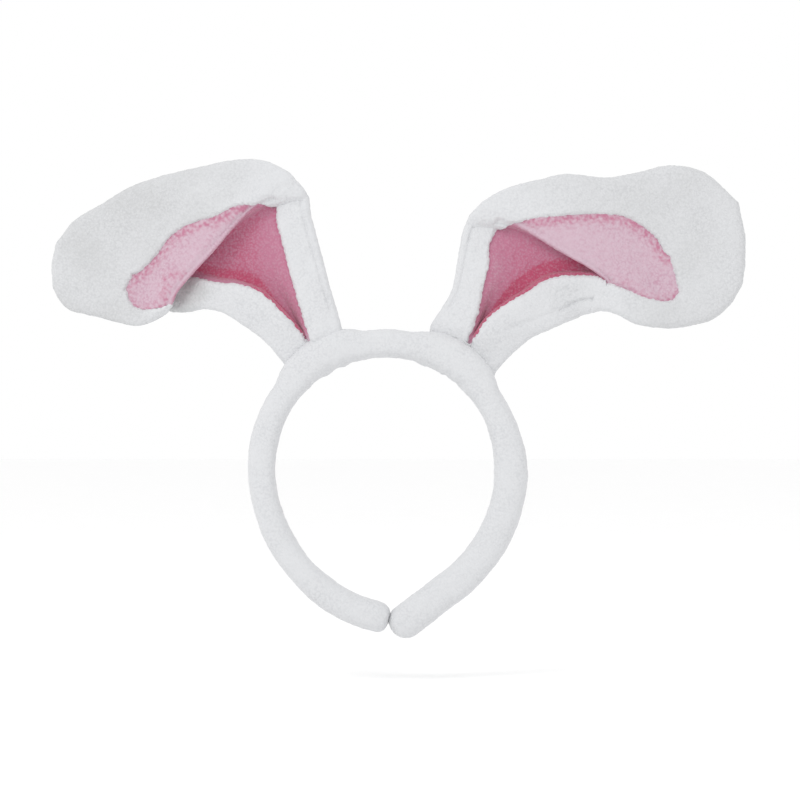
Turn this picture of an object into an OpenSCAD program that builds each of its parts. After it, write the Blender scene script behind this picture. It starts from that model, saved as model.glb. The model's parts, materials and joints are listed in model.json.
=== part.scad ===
// Animal ears headband: a padded fleece band on a springy core, with two wired fleece ears.
// Origin at the centre of the crown's arc, X to the right, Y to the back, Z up. Millimetres.

/* [Head band] */
// Radius of the band's inner face over the crown
head_r = 54.75; // [54:0.25:56]
// Width of the band, front to back
band_w = 20; // [19:0.5:22]
// Thickness of the padded band over the crown
crown_t = 14; // [13.5:0.1:14.5]
// Thickness of the left arm
left_arm_t = 14.4; // [14:0.1:15]
// Thickness of the right arm, whose padding is fuller
right_arm_t = 16.8; // [16:0.1:17]
// Rounding of the band's four long edges
edge_round = 5; // [4.5:0.25:5.5]
// Angle from the top at which each arm begins
hinge_angle = 66; // [64:1:68]
// How far an arm springs open
open_angle = 25; // [15:1:28]

/* [Layers] */
// Thickness of the band's fleece sleeve
sleeve_t = 1.5; // [1.2:0.1:1.8]
// Thickness of the springy core strip
core_t = 2; // [1.6:0.1:2.2]
// Width of the core strip
core_w = 14; // [12:0.5:15]
// Depth of the core below the band's inner face
core_depth = 6; // [5.5:0.1:6.2]
// Thickness of one fleece panel of an ear
panel_t = 1.2; // [1:0.1:1.4]
// Half the thickness of an ear at its edge
rim_half = 2; // [2:0.1:2.2]
// Half the thickness of an ear in the middle of its white border
border_half = 3.2; // [3:0.1:3.4]
// Diameter of the wire in the ears
wire_d = 1.2; // [1:0.1:1.2]

/* [Ears] */
// Lean of the left ear's root away from the top
left_ear_angle = 31; // [30:0.5:32]
// Lean of the right ear's root away from the top
right_ear_angle = 33.4; // [32.5:0.1:34]
// Radius at which the ears stand on the swollen band
root_r = 74; // [73.8:0.1:74.4]

/* [Hidden] */
$fn = 96;
gap = 0.3;
LEFT = 0;
RIGHT = 1;
ALL = 0;
WHITE = 1;
PINK = 2;
FRONT = 0;
FRONT_INSIDE = 1;
BACK_INSIDE = 2;
BACK = 3;
OUTER_EDGE = 4;
arm_t = [left_arm_t, right_arm_t];
ear_angle = [left_ear_angle, right_ear_angle];

// Below the crown's arc each arm follows a wider arc and then runs straight to its tip. The radii
// are those of the inner face, and the turns are right triangles' angles, 7-24-25 and 3-4-5.
side_r = [69.8, 66];
side_turn = [atan2(24, 7), atan2(4, 3)];
end_length = [1.2, 28.7];

// The band swells below each ear, as an arc about a centre part of the way out to the root.
swell_r = 38;
swell_centre = root_r - swell_r;
swell_depth = 12;
swell_sweep = 45;
swell_hollow_sweep = 42;
swell_narrow = 0.2;

// The core's ends: a round nose turns in a round seat.
nose_r = 1.2;
nose_length = core_w - 1;
seat_r = 1.3;
relief_angle = open_angle + 2;
pad_setback = 1.5;
thread_r = 0.4;
thread_setback = 4;

// The ear wire's feet stand on the core, under tape, and end in a seat for the wire's turned end.
foot_spread = 14.5;
foot_floor = 58;
seat_clear = 0.1;
tape_t = 0.4;
tape_sweep = 15;
stitch_r = 0.4;
stitch_length = 4;
stitch_spread = 8;
stitch_y = 4;

// Each ear as rows of four points [outward, up] from its root: the inner-curve edge, the pink
// panel's two borders and the outer-curve edge. Lower rows stop at the hidden fold, upper rows
// start at the front fold.
ear_lower = [
    [
        [[11.5, -13], [1, -0.5], [-1, 1.5], [-17, 4]],
        [[21.5, -1], [6.5, 6], [1.5, 8], [-13.5, 17]],
        [[33.5, 8], [16, 16], [5, 19], [-10, 29]],
        [[43.5, 14], [25.5, 24], [9, 32], [-7.5, 39]],
        [[52, 15.5], [35.5, 27], [13, 47.5], [-4, 52]],
        [[61, 14], [47.5, 28.5], [16, 59], [-1, 64]],
        [[68.5, 15], [59.5, 30.5], [20.5, 67], [4.5, 75]],
    ],
    [
        [[15.5, -13.5], [2.5, 0], [0.5, 1.5], [-18, 8.5]],
        [[23.5, -4.5], [6.5, 6], [3.5, 9], [-12.5, 17.5]],
        [[33.5, 3.5], [11.5, 12.5], [6, 17], [-7.5, 26.5]],
        [[43, 7.5], [19.5, 18.5], [8, 27], [-5, 38.5]],
        [[52, 11], [29.5, 24.5], [11, 39], [-3.5, 50.5]],
        [[58, 13.5], [41, 32.5], [11, 49], [-1, 58.5]],
        [[63, 15.5], [54.5, 35.5], [15.5, 57.5], [3, 65.5]],
    ],
];
ear_upper = [
    [
        [[68.5, 15], [64, 21.5], [26, 67.5], [8.5, 82]],
        [[75.5, 11], [70.5, 18.5], [36.5, 66], [21.5, 89.5]],
        [[86, 7], [77, 16], [47, 61], [36.5, 90]],
        [[96, 9], [83, 15], [58.5, 57.5], [54.5, 86.5]],
        [[104.5, 11.5], [87, 17], [68.5, 51.5], [72, 82.5]],
        [[112, 13], [89.5, 20.5], [77, 41], [88.5, 77]],
        [[119.5, 15], [91, 25.5], [88, 32.5], [103, 68.5]],
        [[125.5, 21], [112, 30], [110.5, 42], [117.5, 59.5]],
        [[128, 27], [128.5, 33.5], [128.5, 39], [126.5, 48]],
    ],
    [
        [[67, 16], [66, 34], [24.5, 60], [9, 72]],
        [[74, 14.5], [73, 30], [39.5, 62], [22, 78]],
        [[83, 10], [82, 26], [53, 63.5], [37, 81]],
        [[93, 8], [91, 22.5], [66, 64], [53, 84]],
        [[103, 7.5], [98, 21], [81, 62], [69.5, 83]],
        [[113, 9], [103, 22], [94, 53], [85.5, 85.5]],
        [[123, 12], [106, 25.5], [101.5, 43.5], [101, 89]],
        [[132, 19.5], [121, 31.5], [119.5, 49], [118, 86]],
        [[138, 29.5], [139.5, 40.5], [139.5, 52.5], [136, 70.5]],
    ],
];
// How far back each row lies, at the two edges, the pink panel's two borders and its middle.
lower_depth = [
    [1, -1, 0, -1, 1],
    [2, -3, 2, -2, 2],
    [2, -3, 4, -1, 2],
    [3, -1, 6, 1, 2],
    [4, 2, 9, 4, 3],
    [5, 5, 10, 6, 4],
    [7, 8, 11, 7, 4],
];
upper_depth = [
    [-6, -8, -9, -7, -4],
    [-5, -6.5, -6.5, -5.5, -4],
    [-4, -4, -4, -3.5, -2.5],
    [-3, -2, -2, -2, -1.5],
    [-1, 0, 0, 0, 0],
    [0, 1, 1, 1, 0],
    [0, 1, 1, 1, 0],
    [0, 0, 0, 0, 0],
    [0, 0, 0, 0, 0],
];
// The place of the fold's corner from the ear's root, where the tip bends.
bend_at = [[8.5, 76], [5, 67]];
lower_start = 0.45;
lower_end = 6;
upper_end = 8;
pink_end = 6;
row_step = 0.5;
// Columns across an ear: the edges are 0 and 3, the pink panel lies from 1 to 2.
columns = [0, 1 / 3, 2 / 3, 1, 1.25, 1.5, 1.75, 2, 7 / 3, 8 / 3, 3];
wadding_columns = [1 / 3, 2 / 3, 1, 1.25, 1.5, 1.75, 2, 7 / 3, 8 / 3];
wadding_start = 1;
wadding_end = 7.5;
wire_inset = 0.07;
wire_sides = 8;
wire_lower_start = 1;
wire_lower_end = 5.5;
wire_upper_start = 0.5;
wire_upper_end = 7.8;
wire_across = [2.6, 2.3, 2, 1.5, 1, 0.7, 0.4];
eye_d = 1.5;
eye_length = 1.6;

fleece = [0.93, 0.935, 0.94];
pink = [0.93, 0.62, 0.74];
foam = [0.9, 0.88, 0.8];
plastic = [0.75, 0.77, 0.8];
steel = [0.6, 0.62, 0.65];
tape_colour = [0.85, 0.8, 0.6];
thread_colour = [0.86, 0.86, 0.87];

// ---- sections across the band: x is the distance out from the inner face, y the width ----

module rounded_block(from, to, half_width, r) {
    for (x = [from + r, to - r], y = [r - half_width, half_width - r]) translate([x, y]) circle(r);
    translate([from + r, -half_width]) square([to - from - 2 * r, 2 * half_width]);
    translate([from, r - half_width]) square([to - from, 2 * (half_width - r)]);
}

module band_section(t) { rounded_block(0, t, band_w / 2, edge_round); }

module hollow_section(t) {
    rounded_block(sleeve_t, t - sleeve_t, band_w / 2 - sleeve_t, edge_round - sleeve_t);
}

module core_section() {
    translate([core_depth, -core_w / 2]) square([core_t, core_w]);
}

module inner_pad_section(t) {
    intersection() {
        hollow_section(t);
        translate([0, -band_w / 2]) square([core_depth, band_w]);
    }
}

module outer_pad_section(t) {
    intersection() {
        hollow_section(t);
        translate([core_depth + core_t, -band_w / 2]) square([t, band_w]);
    }
}

module thread_section() {
    translate([edge_round, -band_w / 2]) circle(thread_r, $fn = 24);
}

module tape_section() {
    translate([core_depth - tape_t, -core_w / 2 - tape_t])
        square([core_t + 2 * tape_t, core_w + 2 * tape_t]);
}

// ---- sweeps in the front plane; angles run from +X towards +Z ----

module sweep(centre, radius, start, angle) {
    translate([centre[0], 0, centre[1]]) rotate([90, 0, 0]) rotate([0, 0, start])
        rotate_extrude(angle = angle) translate([radius, 0]) children();
}

module on_side(side) {
    if (side == LEFT) mirror([1, 0, 0]) children();
    else children();
}

module along_crown(setback = 0) {
    trim = setback / head_r * 180 / PI;
    sweep([0, 0], head_r, 90 - hinge_angle + trim, 2 * (hinge_angle - trim)) children();
}

// The frame at the end of an arm's wide arc, with x outward and y back up the arm.
module at_arm_end(side) {
    translate([head_r - side_r[side], 0, 0]) rotate([90, 0, 0]) rotate([0, 0, -side_turn[side]])
        translate([side_r[side], 0, 0]) children();
}

module along_arm(side, setback = 0) {
    trim = setback / head_r * 180 / PI;
    on_side(side) {
        sweep([0, 0], head_r, 0, 90 - hinge_angle - trim) children();
        intersection() {
            sweep([head_r - side_r[side], 0], side_r[side], -side_turn[side], 90) children();
            translate([0, -band_w, -2 * head_r]) cube([2 * head_r, 2 * band_w, 2 * head_r]);
        }
        at_arm_end(side) rotate([90, 0, 0]) linear_extrude(end_length[side]) children();
    }
}

function hinge_r() = head_r + core_depth + core_t / 2;

// Places children at an arm's hinge, with x outward and z along the band towards the crown.
module at_hinge(side) {
    on_side(side) rotate([0, hinge_angle - 90, 0]) translate([hinge_r(), 0, 0]) children();
}

// The space that an arm leaves free so that it can open without meeting the crown.
module hinge_relief(side) {
    reach = band_w;
    at_hinge(side) {
        translate([-reach, -reach, -gap / 2]) cube([2 * reach, 2 * reach, reach]);
        translate([0, 0, -gap / 2]) rotate([0, relief_angle, 0])
            translate([0, -reach, 0]) cube([reach, 2 * reach, reach]);
    }
}

module swell(side, inset, r, sweep_angle) {
    on_side(side) rotate([90, 0, 0]) rotate([0, 0, 90 - ear_angle[side]])
        translate([swell_centre, 0, 0]) rotate([0, 0, -sweep_angle])
            rotate_extrude(angle = 2 * sweep_angle) rounded_block(
                swell_r - swell_depth, swell_r - inset, band_w / 2 - swell_narrow - inset, r);
}

// ---- the band ----

module core_crown() {
    color(plastic) difference() {
        along_crown(gap / 2) core_section();
        for (side = [LEFT, RIGHT]) at_hinge(side)
            rotate([90, 0, 0]) cylinder(h = 2 * band_w, r = seat_r, center = true);
    }
}

module core_arm(side) {
    color(plastic) {
        along_arm(side) core_section();
        at_hinge(side) rotate([90, 0, 0]) cylinder(h = nose_length, r = nose_r, center = true);
    }
}

module inner_pad_crown() {
    color(foam) difference() {
        along_crown(pad_setback) inner_pad_section(crown_t);
        for (side = [LEFT, RIGHT]) tape_block(side);
    }
}

module inner_pad_arm(side) {
    color(foam) difference() {
        along_arm(side, pad_setback) inner_pad_section(arm_t[side]);
        hinge_relief(side);
    }
}

module outer_pad_crown() {
    color(foam) difference() {
        along_crown(pad_setback) outer_pad_section(crown_t);
        for (side = [LEFT, RIGHT]) {
            tape_block(side);
            foot_rods(side);
        }
    }
}

module outer_pad_arm(side) {
    color(foam) difference() {
        along_arm(side, pad_setback) outer_pad_section(arm_t[side]);
        hinge_relief(side);
    }
}

module sleeve_crown() {
    color(fleece) difference() {
        union() {
            along_crown(gap / 2) band_section(crown_t);
            for (side = [LEFT, RIGHT]) swell(side, 0, edge_round, swell_sweep);
        }
        along_crown(0) hollow_section(crown_t);
        along_crown(0) thread_section();
        for (side = [LEFT, RIGHT]) {
            swell(side, sleeve_t, edge_round - sleeve_t, swell_hollow_sweep);
            foot_rods(side);
            stitch_rods(side);
        }
    }
}

module sleeve_arm(side) {
    t = arm_t[side];
    color(fleece) {
        difference() {
            along_arm(side) band_section(t);
            along_arm(side) hollow_section(t);
            along_arm(side) thread_section();
            hinge_relief(side);
        }
        on_side(side) closed_end(side, t);
    }
}

// The gathered, rounded end that closes an arm's sleeve.
module closed_end(side, t) {
    at_arm_end(side) translate([t / 2, -end_length[side], 0]) rotate([0, 0, 180])
        rotate_extrude(angle = 180) intersection() {
            translate([-t / 2, 0]) band_section(t);
            translate([0, -band_w]) square(2 * band_w);
        }
}

module seam_thread_crown() {
    color(thread_colour) along_crown(thread_setback) thread_section();
}

module seam_thread_arm(side) {
    color(thread_colour) along_arm(side, thread_setback) thread_section();
}

// ---- where the ears join the band ----

module at_root(side) {
    on_side(side) rotate([0, ear_angle[side], 0]) translate([0, 0, root_r]) children();
}

module foot_rods(side) {
    at_root(side) for (x = [-foot_spread, foot_spread])
        translate([x, 0, foot_floor - root_r]) cylinder(h = root_r - foot_floor, d = wire_d, $fn = 32);
}

module wire_feet(side) {
    color(steel) difference() {
        foot_rods(side);
        rotate([90, 0, 0]) cylinder(h = band_w, r = hinge_r() + core_t / 2, center = true);
        at_root(side) rotate([0, 90, 0])
            cylinder(h = 4 * foot_spread, r = eye_d / 2 + seat_clear, center = true, $fn = 32);
    }
}

module tape_block(side) {
    on_side(side) sweep([0, 0], head_r, 90 - ear_angle[side] - tape_sweep, 2 * tape_sweep)
        tape_section();
}

module wire_tape(side) {
    color(tape_colour) difference() {
        tape_block(side);
        along_crown(0) core_section();
        foot_rods(side);
    }
}

module ear_hem(side) {
    color(fleece) difference() {
        swell(side, sleeve_t, edge_round - sleeve_t, swell_hollow_sweep);
        rotate([90, 0, 0])
            cylinder(h = 2 * band_w, r = head_r + crown_t - sleeve_t, center = true);
        foot_rods(side);
    }
}

module stitch_rods(side) {
    at_root(side) for (x = [-stitch_spread, 0, stitch_spread], y = [-stitch_y, stitch_y]) {
        drop = swell_r - sqrt(swell_r * swell_r - x * x);
        translate([x, y, -drop]) rotate([0, 90 + asin(x / swell_r), 0])
            cylinder(h = stitch_length, r = stitch_r, center = true, $fn = 24);
    }
}

module ear_stitches(side) { color(thread_colour) stitch_rods(side); }

// ---- the ears: smooth rows, read between whole row numbers ----

function row_at(rows, i) = rows[min(max(i, 0), len(rows) - 1)];
function blended(a, b, c, d, t) =
    (2 * b + (c - a) * t + (2 * a - 5 * b + 4 * c - d) * t * t + (3 * b - a - 3 * c + d) * t * t * t) / 2;
function row_between(rows, u) =
    let (i = min(floor(u), len(rows) - 2))
    blended(row_at(rows, i - 1), row_at(rows, i), row_at(rows, i + 1), row_at(rows, i + 2), u - i);
function mixed(list, v) =
    let (i = min(floor(v), len(list) - 2))
    list[i] * (1 - v + i) + list[i + 1] * (v - i);

// The depth stations are the edges, the pink borders and the pink panel's middle.
function station(v) = v <= 1 ? v : (v >= 2 ? v + 1 : 1 + 2 * (v - 1));
function half_thickness(v) =
    v > 1 && v < 2 ? rim_half : rim_half + (border_half - rim_half) * sin(180 * (v - floor(v)));

// Mid-surface point [outward, back, up], then the front (s = -1) and back (s = 1) faces.
function ear_point(rows, depths, u, v) =
    let (p = mixed(row_between(rows, u), v), y = mixed(row_between(depths, u), station(v)))
    [p[0], y, p[1]];
function face_y(v, layer) =
    layer == FRONT ? -half_thickness(v)
    : layer == FRONT_INSIDE ? panel_t - half_thickness(v)
    : layer == BACK_INSIDE ? half_thickness(v) - panel_t
    : half_thickness(v);

function steps(from, to) =
    concat(from, [for (u = [ceil(from / row_step + 0.2) * row_step : row_step : to - 0.01]) u], to);

// A closed panel between two layers, over the cells that keep() marks, as one polyhedron.
// kept[i][j] says whether the cell between rows i, i + 1 and columns j, j + 1 is cloth.
module panel(rows, depths, us, vs, kept, front, back) {
    m = len(vs);
    count = len(us) * m;
    points = [
        for (layer = [front, back], u = us, v = vs)
            ear_point(rows, depths, u, v) + [0, face_y(v, layer), 0]
    ];
    cells = [for (i = [0 : len(us) - 2], j = [0 : m - 2]) if (kept[i][j]) [i, j]];
    function on(i, j) = i >= 0 && j >= 0 && i < len(us) - 1 && j < m - 1 && kept[i][j];
    function wall(p, q) = [[q, p, p + count], [q, p + count, q + count]];
    polyhedron(points, [
        for (c = cells) let (a = c[0] * m + c[1], b = a + 1, d = a + m, e = d + 1)
            each concat(
                [[a, b, d], [b, e, d]],
                [[a + count, d + count, b + count], [b + count, d + count, e + count]],
                on(c[0] - 1, c[1]) ? [] : wall(a, b),
                on(c[0], c[1] + 1) ? [] : wall(b, e),
                on(c[0] + 1, c[1]) ? [] : wall(e, d),
                on(c[0], c[1] - 1) ? [] : wall(d, a)
            )
    ], convexity = 6);
}

function in_pink(u, v) = v > 1 && v < 2 && u < pink_end;
function cell_map(us, vs, cells) = [
    for (i = [0 : len(us) - 2]) [
        for (j = [0 : len(vs) - 2])
            cells == ALL || in_pink((us[i] + us[i + 1]) / 2, (vs[j] + vs[j + 1]) / 2) == (cells == PINK)
    ]
];

lower_steps = steps(lower_start, lower_end);
upper_steps = steps(0, upper_end);

module at_ear(side) {
    on_side(side) translate([
        root_r * sin(ear_angle[side]), 0, root_r * cos(ear_angle[side])
    ]) children();
}

module lower_panel(side, us, vs, cells, front, back) {
    at_ear(side) panel(ear_lower[side], lower_depth, us, vs, cell_map(us, vs, cells), front, back);
}

module upper_panel(side, us, vs, cells, front, back) {
    at_ear(side) panel(ear_upper[side], upper_depth, us, vs, cell_map(us, vs, cells), front, back);
}

module back_panel_base(side) {
    color(fleece) lower_panel(side, lower_steps, columns, ALL, BACK_INSIDE, BACK);
}

module back_panel_tip(side) {
    color(fleece) upper_panel(side, upper_steps, columns, ALL, BACK_INSIDE, BACK);
}

module front_border_base(side) {
    color(fleece) lower_panel(side, lower_steps, columns, WHITE, FRONT, FRONT_INSIDE);
}

module front_border_tip(side) {
    color(fleece) upper_panel(side, upper_steps, columns, WHITE, FRONT, FRONT_INSIDE);
}

module inner_panel_base(side) {
    color(pink) lower_panel(side, lower_steps, columns, PINK, FRONT, FRONT_INSIDE);
}

module inner_panel_tip(side) {
    color(pink) upper_panel(side, upper_steps, columns, PINK, FRONT, FRONT_INSIDE);
}

// The wadding stops short of the wire, which runs inside the rim.
module wadding_base(side) {
    us = steps(wadding_start, lower_end);
    color(foam) lower_panel(side, us, wadding_columns, ALL, FRONT_INSIDE, BACK_INSIDE);
}

module wadding_tip(side) {
    us = steps(0, wadding_end);
    color(foam) upper_panel(side, us, wadding_columns, ALL, FRONT_INSIDE, BACK_INSIDE);
}

// ---- the wire: a round tube along points, with rings across the path ----

function unit(a) = a / norm(a);
function wire_ring(path, i) =
    let (
        t = path[min(i + 1, len(path) - 1)] - path[max(i - 1, 0)],
        n = unit([t[2], 0, -t[0]])
    )
    [for (k = [0 : wire_sides - 1]) let (a = 360 * k / wire_sides)
        path[i] + wire_d / 2 * (cos(a) * n + sin(a) * [0, 1, 0])];

module wire_tube(path) {
    last = (len(path) - 1) * wire_sides;
    polyhedron(
        [for (i = [0 : len(path) - 1]) each wire_ring(path, i)],
        concat(
            [[for (k = [0 : wire_sides - 1]) k]],
            [[for (k = [0 : wire_sides - 1]) last + wire_sides - 1 - k]],
            [for (i = [0 : len(path) - 2], k = [0 : wire_sides - 1])
                let (a = i * wire_sides + k, b = i * wire_sides + (k + 1) % wire_sides)
                each [[a, a + wire_sides, b], [b, a + wire_sides, b + wire_sides]]]
        ), convexity = 8);
}

// The place of a foot's seat on the lean axis, from the ear's root.
function seat_at(side, x) = [x * cos(ear_angle[side]), 0, -x * sin(ear_angle[side])];
function bend_point(side, y) = [bend_at[side][0], y, bend_at[side][1]];
function lower_wire(side, v) = [
    for (u = steps(wire_lower_start, wire_lower_end)) ear_point(ear_lower[side], lower_depth, u, v)
];
function upper_wire(side, v) = [
    for (u = steps(wire_upper_start, wire_upper_end)) ear_point(ear_upper[side], upper_depth, u, v)
];
function backwards(list) = [for (i = [len(list) - 1 : -1 : 0]) list[i]];

module lean_eye(side, x) {
    at_root(side) translate([x, 0, 0]) rotate([0, 90, 0])
        cylinder(h = eye_length, d = eye_d, center = true, $fn = 32);
}

module bend_eye(side, y) {
    at_ear(side) translate(bend_point(side, y)) rotate([90, 0, 0])
        cylinder(h = wire_d, d = eye_d, center = true, $fn = 32);
}

module wire_base(side) {
    bend_y = lower_depth[lower_end][OUTER_EDGE];
    color(steel) {
        at_ear(side) wire_tube(concat([seat_at(side, foot_spread)], lower_wire(side, wire_inset)));
        at_ear(side) wire_tube(concat(
            [seat_at(side, -foot_spread)], lower_wire(side, 3 - wire_inset), [bend_point(side, bend_y)]));
        lean_eye(side, foot_spread);
        lean_eye(side, -foot_spread);
        bend_eye(side, bend_y);
    }
}

module wire_tip(side) {
    bend_y = upper_depth[0][OUTER_EDGE];
    color(steel) {
        at_ear(side) wire_tube(concat(
            [bend_point(side, bend_y)],
            upper_wire(side, 3 - wire_inset),
            [for (v = wire_across) ear_point(ear_upper[side], upper_depth, wire_upper_end, v)],
            backwards(upper_wire(side, wire_inset))));
        bend_eye(side, bend_y);
    }
}

core_crown();
core_arm(LEFT);  // core_left
core_arm(RIGHT);  // core_right
inner_pad_crown();
inner_pad_arm(LEFT);  // inner_pad_left
inner_pad_arm(RIGHT);  // inner_pad_right
outer_pad_crown();
outer_pad_arm(LEFT);  // outer_pad_left
outer_pad_arm(RIGHT);  // outer_pad_right
sleeve_crown();
sleeve_arm(LEFT);  // sleeve_left
sleeve_arm(RIGHT);  // sleeve_right
seam_thread_crown();
seam_thread_arm(LEFT);  // seam_thread_left
seam_thread_arm(RIGHT);  // seam_thread_right
ear_hem(LEFT);  // ear_hem_left
ear_hem(RIGHT);  // ear_hem_right
wire_tape(LEFT);  // wire_tape_left
wire_tape(RIGHT);  // wire_tape_right
wire_feet(LEFT);  // wire_feet_left
wire_feet(RIGHT);  // wire_feet_right
ear_stitches(LEFT);  // ear_stitches_left
ear_stitches(RIGHT);  // ear_stitches_right
back_panel_base(LEFT);  // back_panel_base_left
back_panel_base(RIGHT);  // back_panel_base_right
back_panel_tip(LEFT);  // back_panel_tip_left
back_panel_tip(RIGHT);  // back_panel_tip_right
front_border_base(LEFT);  // front_border_base_left
front_border_base(RIGHT);  // front_border_base_right
front_border_tip(LEFT);  // front_border_tip_left
front_border_tip(RIGHT);  // front_border_tip_right
inner_panel_base(LEFT);  // inner_panel_base_left
inner_panel_base(RIGHT);  // inner_panel_base_right
inner_panel_tip(LEFT);  // inner_panel_tip_left
inner_panel_tip(RIGHT);  // inner_panel_tip_right
wadding_base(LEFT);  // wadding_base_left
wadding_base(RIGHT);  // wadding_base_right
wadding_tip(LEFT);  // wadding_tip_left
wadding_tip(RIGHT);  // wadding_tip_right
wire_base(LEFT);  // wire_base_left
wire_base(RIGHT);  // wire_base_right
wire_tip(LEFT);  // wire_tip_left
wire_tip(RIGHT);  // wire_tip_right
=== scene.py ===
"""The looks of the animal ears headband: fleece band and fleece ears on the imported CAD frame.

Shapes are worked out in millimetres and written to meshes in metres. X is to the right, Y to the
back, Z up, as in the frame.
"""
import json
import math
import bpy
import numpy as np
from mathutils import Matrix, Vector, kdtree, noise


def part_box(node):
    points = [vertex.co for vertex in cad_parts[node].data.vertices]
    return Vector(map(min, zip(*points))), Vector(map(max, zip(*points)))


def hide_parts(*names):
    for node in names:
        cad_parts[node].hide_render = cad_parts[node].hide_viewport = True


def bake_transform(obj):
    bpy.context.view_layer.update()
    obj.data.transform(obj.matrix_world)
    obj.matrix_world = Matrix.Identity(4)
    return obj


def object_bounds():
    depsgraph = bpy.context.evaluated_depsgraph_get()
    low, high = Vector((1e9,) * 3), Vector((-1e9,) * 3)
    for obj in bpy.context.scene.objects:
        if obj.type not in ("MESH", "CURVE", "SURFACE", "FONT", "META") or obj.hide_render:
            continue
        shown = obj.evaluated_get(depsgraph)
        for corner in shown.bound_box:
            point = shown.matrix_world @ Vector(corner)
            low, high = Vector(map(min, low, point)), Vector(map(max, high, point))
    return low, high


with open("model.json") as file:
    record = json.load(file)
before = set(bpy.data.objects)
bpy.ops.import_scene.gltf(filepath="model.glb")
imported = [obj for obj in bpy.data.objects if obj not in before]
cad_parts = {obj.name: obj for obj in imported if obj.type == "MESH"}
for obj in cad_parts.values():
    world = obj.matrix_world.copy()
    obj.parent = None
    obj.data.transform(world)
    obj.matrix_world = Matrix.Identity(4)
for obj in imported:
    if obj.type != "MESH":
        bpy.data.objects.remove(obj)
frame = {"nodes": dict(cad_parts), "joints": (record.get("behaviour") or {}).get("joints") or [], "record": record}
cad_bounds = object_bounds()

MM = 0.001
JOINTS = {joint["name"]: joint for joint in frame["joints"]}
SIDES = {"left": -1, "right": 1}


def joint_place(name):
    """A point on a joint's axis, in millimetres."""
    return np.array(JOINTS[name]["pos_m"]) / MM


HEAD_R = frame["record"]["mounts"][0]["dims"]["r_mm"]
BAND_HALF_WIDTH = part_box("sleeve_left")[1].y / MM
ROOT = {side: joint_place(f"{side}_ear_lean") for side in SIDES}
EAR_ANGLE = {side: math.degrees(math.atan2(abs(ROOT[side][0]), ROOT[side][2])) for side in SIDES}
ROOT_R = math.hypot(ROOT["left"][0], ROOT["left"][2])
# How far one seed's noise lies from the next one's, and what brings it to about -1 to 1.
NOISE_SHIFT = (7.1, 3.7, 5.3)
NOISE_GAIN = 1.6


# ---- curves ----

def smooth(t):
    """From 0 to 1 as t goes from 0 to 1, level at both ends."""
    t = np.clip(t, 0, 1)
    return t * t * (3 - 2 * t)


def unit(vectors):
    """The vectors at length 1."""
    length = np.linalg.norm(vectors, axis=-1, keepdims=True)
    return vectors / np.maximum(length, 1e-9)


def through(points, samples):
    """A smooth curve through points[i], read at each (segment, share of it) of samples."""
    ends = [2 * points[0] - points[1], 2 * points[-1] - points[-2]]
    p = np.concatenate([ends[:1], points, ends[1:]])
    gaps = np.maximum(np.linalg.norm(np.diff(p, axis=0), axis=-1), 1e-3) ** 0.5
    out = []
    for i, share in samples:
        k = np.concatenate([[np.zeros_like(gaps[0])], np.cumsum(gaps[i:i + 3], axis=0)])[..., None]
        t = k[1] + share * (k[2] - k[1])
        a = [((k[j + 1] - t) * p[i + j] + (t - k[j]) * p[i + j + 1]) / (k[j + 1] - k[j]) for j in range(3)]
        b = [((k[j + 2] - t) * a[j] + (t - k[j]) * a[j + 1]) / (k[j + 2] - k[j]) for j in range(2)]
        out.append(((k[2] - t) * b[0] + (t - k[1]) * b[1]) / (k[2] - k[1]))
    return np.array(out)


def even_samples(points, step):
    """Samples along rows of points, about step apart where they are furthest apart."""
    samples = []
    for i in range(len(points) - 1):
        count = math.ceil(np.linalg.norm(points[i + 1] - points[i], axis=-1).max() / step)
        samples += [(i, j / count) for j in range(count)]
    return samples + [(len(points) - 2, 1.0)]


def grid_normals(grid):
    """The direction square to a grid's surface at each of its points."""
    across = np.gradient(grid, axis=0)
    along = np.gradient(grid, axis=1)
    return unit(np.cross(across, along))


def tree_of(points):
    """A tree that finds the nearest of the points."""
    tree = kdtree.KDTree(len(points))
    for i, p in enumerate(points):
        tree.insert(p, i)
    tree.balance()
    return tree


def distance_to(points, grid):
    """How far each point of a grid is from a line given by close points."""
    tree = tree_of(points)
    flat = [tree.find(p)[2] for p in grid.reshape(-1, 3)]
    return np.array(flat).reshape(grid.shape[:-1])


def noise_over(grid, size, seed):
    """Smooth noise from about -1 to 1, with bumps of about that size in millimetres."""
    shift = seed * Vector(NOISE_SHIFT)
    flat = [noise.noise(Vector(p) / size + shift) for p in grid.reshape(-1, 3).tolist()]
    return np.array(flat).reshape(grid.shape[:-1]) * NOISE_GAIN


# ---- meshes ----

def mesh_piece(name, points, faces, material, painted_shade_and_speckle=None):
    """An object of points in millimetres, with the painted shade and speckle at each point that darken the
    fleece's colour.
    """
    mesh = bpy.data.meshes.new(name)
    mesh.from_pydata((points * MM).tolist(), [], faces)
    mesh.polygons.foreach_set("use_smooth", [True] * len(mesh.polygons))
    if painted_shade_and_speckle is not None:
        attribute = mesh.attributes.new("painted_shade_and_speckle", "FLOAT", "POINT")
        attribute.data.foreach_set("value", painted_shade_and_speckle.astype(np.float32))
    mesh.materials.append(material)
    mesh.update()
    piece = bpy.data.objects.new(name, mesh)
    bpy.context.scene.collection.objects.link(piece)
    return piece


def quads(rows, columns, keep=None, offset=0, flip=False):
    """Faces of a grid of points, over the cells that keep marks."""
    faces = []
    for i in range(rows - 1):
        for j in range(columns - 1):
            if keep is None or keep[i, j]:
                a = offset + i * columns + j
                face = (a, a + 1, a + columns + 1, a + columns)
                faces.append(face[::-1] if flip else face)
    return faces


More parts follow.
